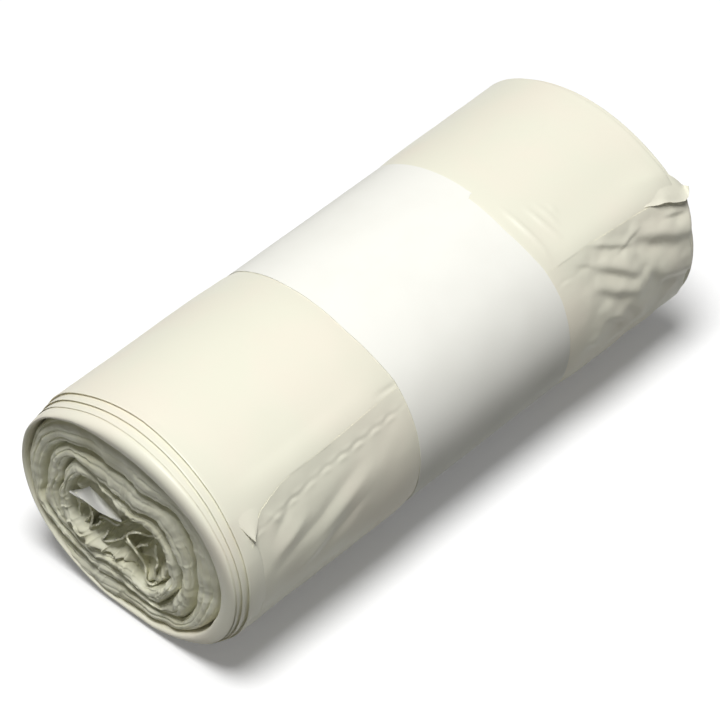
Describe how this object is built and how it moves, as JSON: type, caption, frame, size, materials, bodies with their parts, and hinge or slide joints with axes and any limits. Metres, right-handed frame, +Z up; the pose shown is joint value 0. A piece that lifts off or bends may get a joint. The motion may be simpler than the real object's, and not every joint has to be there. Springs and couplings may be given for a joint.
{
  "type": "bin bag roll",
  "caption": "Coreless roll of pale film bags lying on its side, held by a plain paper band, with wavy recessed turns at the ends and a creased loose end.",
  "frame": {"origin": "under the middle of the roll, on the surface it lies on", "axes": "+X along the roll, the end whose turns are seen at -X; +Y across it, the loose end on the -Y side; +Z up"},
  "size_m": [0.15, 0.068, 0.055],
  "materials": {
    "film": "thin ivory film, silky",
    "paper": "uncoated white paper"
  },
  "bodies": {
    "root": {"bag_roll": "film", "paper_band": "paper"}
  },
  "joints": []
}
